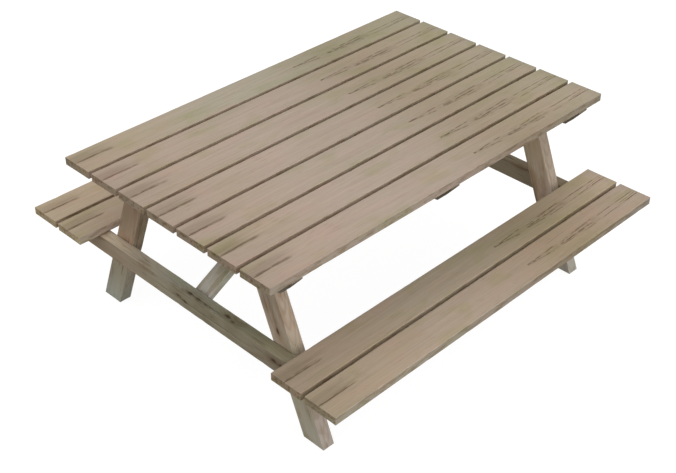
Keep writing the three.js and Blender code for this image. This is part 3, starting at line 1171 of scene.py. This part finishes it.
def make_leg(node, material, number):
    rng = random.Random(LEG_SEED + number)
    low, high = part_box(node)
    foot, head = corners_on(node, 2, low.z), corners_on(node, 2, high.z)
    foot_y, head_y = (foot[0][1] + foot[1][1]) / 2, (head[0][1] + head[1][1]) / 2
    run = Vector((0, head_y - foot_y, high.z - low.z))
    length = run.length
    half, half_thickness = (foot[1][1] - foot[0][1]) / 2, (high.x - low.x) / 2
    middle = (low.x + high.x) / 2
    origin = (middle, foot_y, low.z)
    place, grain = straight(origin, run.normalized(), CROSSWISE, LENGTHWISE * math.copysign(1, middle))
    section = (-half, half, -half_thickness, half_thickness)
    cracks = frame_cracks(rng, length, ("top", "left", "right", "bottom"), (half, half_thickness))
    knots = KNOTS.get(node, frame_knots(rng, length, half_thickness))
    turn = math.copysign(math.pi / 2, -foot_y)
    shape = (length, section, place, grain, cracks, knots, rng, LEG_TILT)
    frame_timber(node, material, *shape, turn=turn)


def make_cross_timber(node, material, number):
    """A bearer or batten, whose underside rises towards each end."""
    rng = random.Random(CROSS_SEED + number)
    low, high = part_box(node)
    length, depth = high.y - low.y, high.z - low.z
    half = (high.x - low.x) / 2
    nose = high.z - corners_on(node, 1, low.y)[0][2]
    bevel = corners_on(node, 2, low.z)[0][1] - low.y
    origin = ((low.x + high.x) / 2, low.y, high.z)
    place, grain = straight(origin, CROSSWISE, LENGTHWISE, UPRIGHT)

    def underside(u):
        inwards = np.clip(np.minimum(u, length - u) / bevel, 0, 1)
        return -(nose + (depth - nose) * inwards)

    section = (-half, half, underside, 0.0)
    cracks = frame_cracks(rng, length, ("top", *SIDES), (half, depth / 3))
    keep_off_bevels(cracks, length, bevel)
    knots = KNOTS.get(node, frame_knots(rng, length, half))
    if node == "seat_bearer_left":
        cracks = [crack for crack in cracks if crack.face != "top"] + [BEARER_CRACK]
    turn = rng.uniform(-math.pi, math.pi)
    shape = (length, section, place, grain, cracks, knots, rng, BEARER_TILT)
    frame_timber(node, material, *shape, turn=turn)


def keep_off_bevels(cracks, length, bevel):
    """Shortens the cracks in the sides, so that none reaches the bevels at the timber's ends."""
    for crack in cracks:
        if crack.face in SIDES:
            crack.start = max(crack.start, 1.5 * bevel)
            crack.end = min(crack.end, length - 1.5 * bevel)


def make_brace(node, material, number):
    """A sloping brace, cut level under the top and upright at both ends."""
    rng = random.Random(BRACE_SEED + number)
    low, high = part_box(node)
    foot_x, head_x = (low.x, high.x) if low.x + high.x < 0 else (high.x, low.x)
    foot, head = corners_on(node, 0, foot_x), corners_on(node, 0, head_x)
    half_rise = (foot[1][2] - foot[0][2]) / 2
    half = (high.y - low.y) / 2
    along = Vector((head_x - foot_x, 0, head[0][2] - foot[0][2]))
    length = along.length
    origin = (foot_x, 0, foot[0][2] + half_rise)
    line, grain = straight(origin, along.normalized(), UPRIGHT, CROSSWISE)

    def place(u, v, w):
        points = line(u, v, w)
        points[..., 2] = np.minimum(points[..., 2], high.z)
        return points

    section = (-half_rise, half_rise, -half, half)
    cracks = frame_cracks(rng, length, ("right", "left"), (half, half_rise))
    knots = frame_knots(rng, length, half_rise)
    turn = rng.uniform(-math.pi, math.pi)
    shape = (length, section, place, grain, cracks, knots, rng, BEARER_TILT)
    frame_timber(node, material, *shape, turn=turn)


def nodes_named(*words):
    return sorted(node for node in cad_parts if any(word in node for word in words))


def make_table():
    top_wood = wood("top_wood", BOARD_TONES, board_figure, BOARD_SHADE_AND_DIRT)
    seat_wood = wood("seat_wood", BOARD_TONES, board_figure, SEAT_SHADE_AND_DIRT)
    for number, node in enumerate(nodes_named("board")):
        if node.startswith("top"):
            make_board(node, "top_boards", top_wood, number)
        else:
            make_board(node, "seat_boards", seat_wood, number)
    makers = (
        (make_leg, "leg_wood", LEG_TONES, nodes_named("leg_")),
        (make_cross_timber, "bearer_wood", BEARER_TONES, nodes_named("bearer", "batten")),
        (make_brace, "brace_wood", BRACE_TONES, ["brace_left", "brace_right"]),
    )
    for make, name, tones, nodes in makers:
        material = wood(name, tones, frame_figure, FRAME_SHADE_AND_DIRT)
        for number, node in enumerate(nodes):
            make(node, material, number)


def finish_fixings(plate):
    for node in nodes_named("screw", "washer"):
        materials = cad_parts[node].data.materials
        materials.clear()
        materials.append(plate)


# The screws that hold the boards


def screw_mesh(plate):
    """A countersunk head with a lobed socket, facing down, with its rim at the origin's height."""
    turns = [2 * math.pi * i / SCREW_SEGMENTS for i in range(SCREW_SEGMENTS)]
    socket = [SOCKET_RADIUS + SOCKET_LOBE * math.cos(SOCKET_LOBES * turn) for turn in turns]
    rings = (
        ([SOCKET_FLAT * r for r in socket], SOCKET_DEPTH),
        (socket, SOCKET_DEPTH - HEAD_CROWN),
        (socket, -HEAD_CROWN),
        ([r + SOCKET_LIP for r in socket], -HEAD_CROWN),
        ([CROWN_SHARE * HEAD_RADIUS] * SCREW_SEGMENTS, -HEAD_CROWN / 2),
        ([HEAD_RADIUS] * SCREW_SEGMENTS, HEAD_RIM),
        ([SHANK_SHARE * HEAD_RADIUS] * SCREW_SEGMENTS, HEAD_SINK),
    )
    points = [(r * math.cos(t), r * math.sin(t), z) for radii, z in rings for r, t in zip(radii, turns)]
    faces = [list(range(SCREW_SEGMENTS - 1, -1, -1))]
    for ring in range(len(rings) - 1):
        for i in range(SCREW_SEGMENTS):
            a, b = ring * SCREW_SEGMENTS + i, ring * SCREW_SEGMENTS + (i + 1) % SCREW_SEGMENTS
            faces.append([a, b, b + SCREW_SEGMENTS, a + SCREW_SEGMENTS])
    faces.append(list(range(len(points) - SCREW_SEGMENTS, len(points))))
    mesh = bpy.data.meshes.new("board_screw")
    mesh.from_pydata(points, [], faces)
    mesh.materials.append(plate)
    return mesh


def screw_places(board, timber_node):
    """A place on each side of the board's middle, both where the timber's underside is level."""
    low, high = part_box(board)
    below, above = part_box(timber_node)
    level = corners_on(timber_node, 2, below.z)
    middle = (low.y + high.y) / 2
    for way in (-1, 1):
        y = middle + way * SCREW_ASIDE
        y = min(max(y, level[0][1] + SCREW_MARGIN), level[1][1] - SCREW_MARGIN)
        yield Vector(((below.x + above.x) / 2, y, below.z + 2 * HEAD_CROWN))


def add_screw(name, mesh, place):
    piece = bpy.data.objects.new(name, mesh)
    piece.location = place
    bpy.context.scene.collection.objects.link(piece)
    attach(piece, "root")


def screw_down_boards(plate):
    mesh = screw_mesh(plate)
    joined = (
        ("top_board", ("top_bearer_left", "top_batten_middle", "top_bearer_right")),
        ("bench", ("seat_bearer_left", "seat_bearer_right")),
    )
    for boards, timbers in joined:
        for board in nodes_named(boards):
            for timber_node in timbers:
                for number, place in enumerate(screw_places(board, timber_node)):
                    add_screw(f"{board}_screw_{timber_node}_{number + 1}", mesh, place)


def write_sizes():
    boxes = {"cad": CAD_BOX, "visual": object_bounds()}
    {name: [list(corner) for corner in box] for name, box in boxes.items()}


make_camera()
make_floor()
make_light()
make_table()
zinc_plate = zinc()
finish_fixings(zinc_plate)
screw_down_boards(zinc_plate)
write_sizes()
